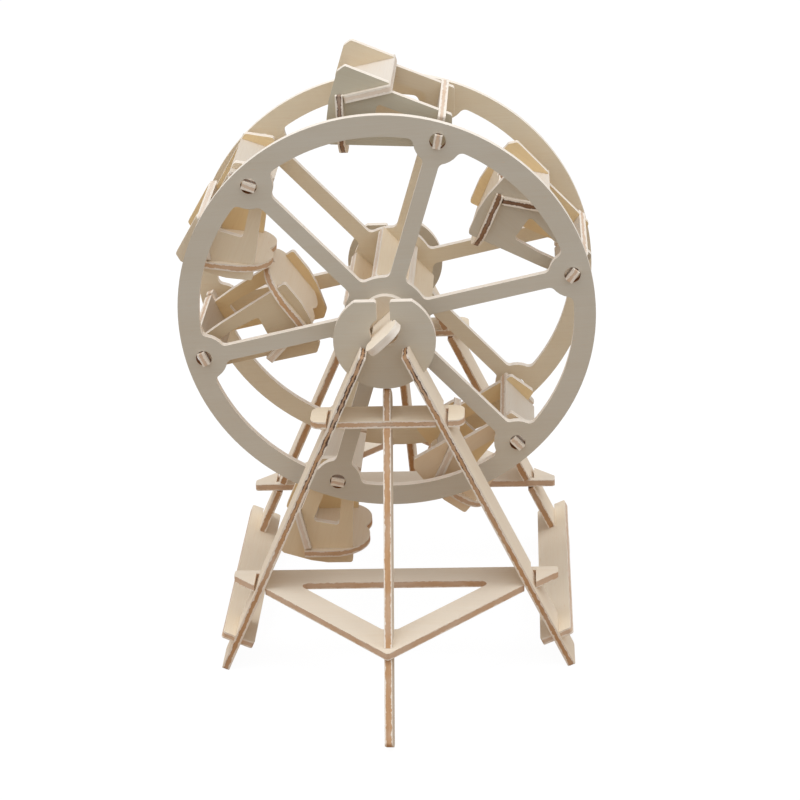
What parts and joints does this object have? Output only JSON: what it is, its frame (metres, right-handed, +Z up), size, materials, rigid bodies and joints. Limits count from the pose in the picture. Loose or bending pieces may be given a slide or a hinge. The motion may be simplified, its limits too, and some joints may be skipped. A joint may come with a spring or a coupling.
{
  "type": "ferris wheel toy",
  "caption": "Free-standing plywood ferris wheel toy: paired wheels turned by a finger key on the axle, open cabins hung between the rims, and splayed legs at front and back.",
  "frame": {"origin": "on the ground, midway between the six feet and under the middle of the axle", "axes": "+X to the right seen from the finger key's side, +Y along the axle from the key to the rear, +Z up"},
  "size_m": [0.1652, 0.2494, 0.2436],
  "materials": {
    "stand_plywood": "bare sanded plywood faces, brown laser-cut edges",
    "wheel_plywood": "bare sanded plywood faces, brown laser-cut edges",
    "cabin_plywood": "bare sanded plywood faces, brown laser-cut edges"
  },
  "bodies": {
    "stand": {"front_bearing_plate": "stand_plywood", "rear_bearing_plate": "stand_plywood", "front_left_leg": "stand_plywood", "front_right_leg": "stand_plywood", "rear_left_leg": "stand_plywood", "rear_right_leg": "stand_plywood", "front_centre_leg": "stand_plywood", "rear_centre_leg": "stand_plywood", "front_cross_brace": "stand_plywood", "rear_cross_brace": "stand_plywood", "front_base_triangle": "stand_plywood", "rear_base_triangle": "stand_plywood", "left_side_plank": "stand_plywood", "right_side_plank": "stand_plywood"},
    "wheel": {"front_wheel": "wheel_plywood", "rear_wheel": "wheel_plywood", "axle_plate": "wheel_plywood", "upper_spacer": "wheel_plywood", "lower_spacer": "wheel_plywood", "front_collar": "wheel_plywood", "rear_collar": "wheel_plywood"},
    "cabin_1": {"cabin_1_roof": "cabin_plywood", "cabin_1_front_panel": "cabin_plywood", "cabin_1_rear_panel": "cabin_plywood", "cabin_1_floor": "cabin_plywood", "cabin_1_back": "cabin_plywood"},
    "cabin_2": {"cabin_2_roof": "cabin_plywood", "cabin_2_front_panel": "cabin_plywood", "cabin_2_rear_panel": "cabin_plywood", "cabin_2_floor": "cabin_plywood", "cabin_2_back": "cabin_plywood"},
    "cabin_3": {"cabin_3_roof": "cabin_plywood", "cabin_3_front_panel": "cabin_plywood", "cabin_3_rear_panel": "cabin_plywood", "cabin_3_floor": "cabin_plywood", "cabin_3_back": "cabin_plywood"},
    "cabin_4": {"cabin_4_roof": "cabin_plywood", "cabin_4_front_panel": "cabin_plywood", "cabin_4_rear_panel": "cabin_plywood", "cabin_4_floor": "cabin_plywood", "cabin_4_back": "cabin_plywood"},
    "cabin_5": {"cabin_5_roof": "cabin_plywood", "cabin_5_front_panel": "cabin_plywood", "cabin_5_rear_panel": "cabin_plywood", "cabin_5_floor": "cabin_plywood", "cabin_5_back": "cabin_plywood"},
    "cabin_6": {"cabin_6_roof": "cabin_plywood", "cabin_6_front_panel": "cabin_plywood", "cabin_6_rear_panel": "cabin_plywood", "cabin_6_floor": "cabin_plywood", "cabin_6_back": "cabin_plywood"}
  },
  "joints": [
    {"name": "wheel_turn", "type": "hinge", "parent": "stand", "child": "wheel", "pos_m": [0, 0, 0.1445], "axis": [0, 1, 0], "continuous": true},
    {"name": "cabin_1_swing", "type": "hinge", "parent": "wheel", "child": "cabin_1", "pos_m": [0.02274, 0, 0.21618], "axis": [0, 1, 0], "range_deg": [-85, 160]},
    {"name": "cabin_2_swing", "type": "hinge", "parent": "wheel", "child": "cabin_2", "pos_m": [-0.05071, 0, 0.20003], "axis": [0, 1, 0], "range_deg": [0, 175]},
    {"name": "cabin_3_swing", "type": "hinge", "parent": "wheel", "child": "cabin_3", "pos_m": [-0.07345, 0, 0.12835], "axis": [0, 1, 0], "range_deg": [0, 250]},
    {"name": "cabin_4_swing", "type": "hinge", "parent": "wheel", "child": "cabin_4", "pos_m": [-0.02274, 0, 0.07282], "axis": [0, 1, 0], "range_deg": [-55, 215]},
    {"name": "cabin_5_swing", "type": "hinge", "parent": "wheel", "child": "cabin_5", "pos_m": [0.05071, 0, 0.08897], "axis": [0, 1, 0], "continuous": true},
    {"name": "cabin_6_swing", "type": "hinge", "parent": "wheel", "child": "cabin_6", "pos_m": [0.07345, 0, 0.16065], "axis": [0, 1, 0], "continuous": true}
  ]
}
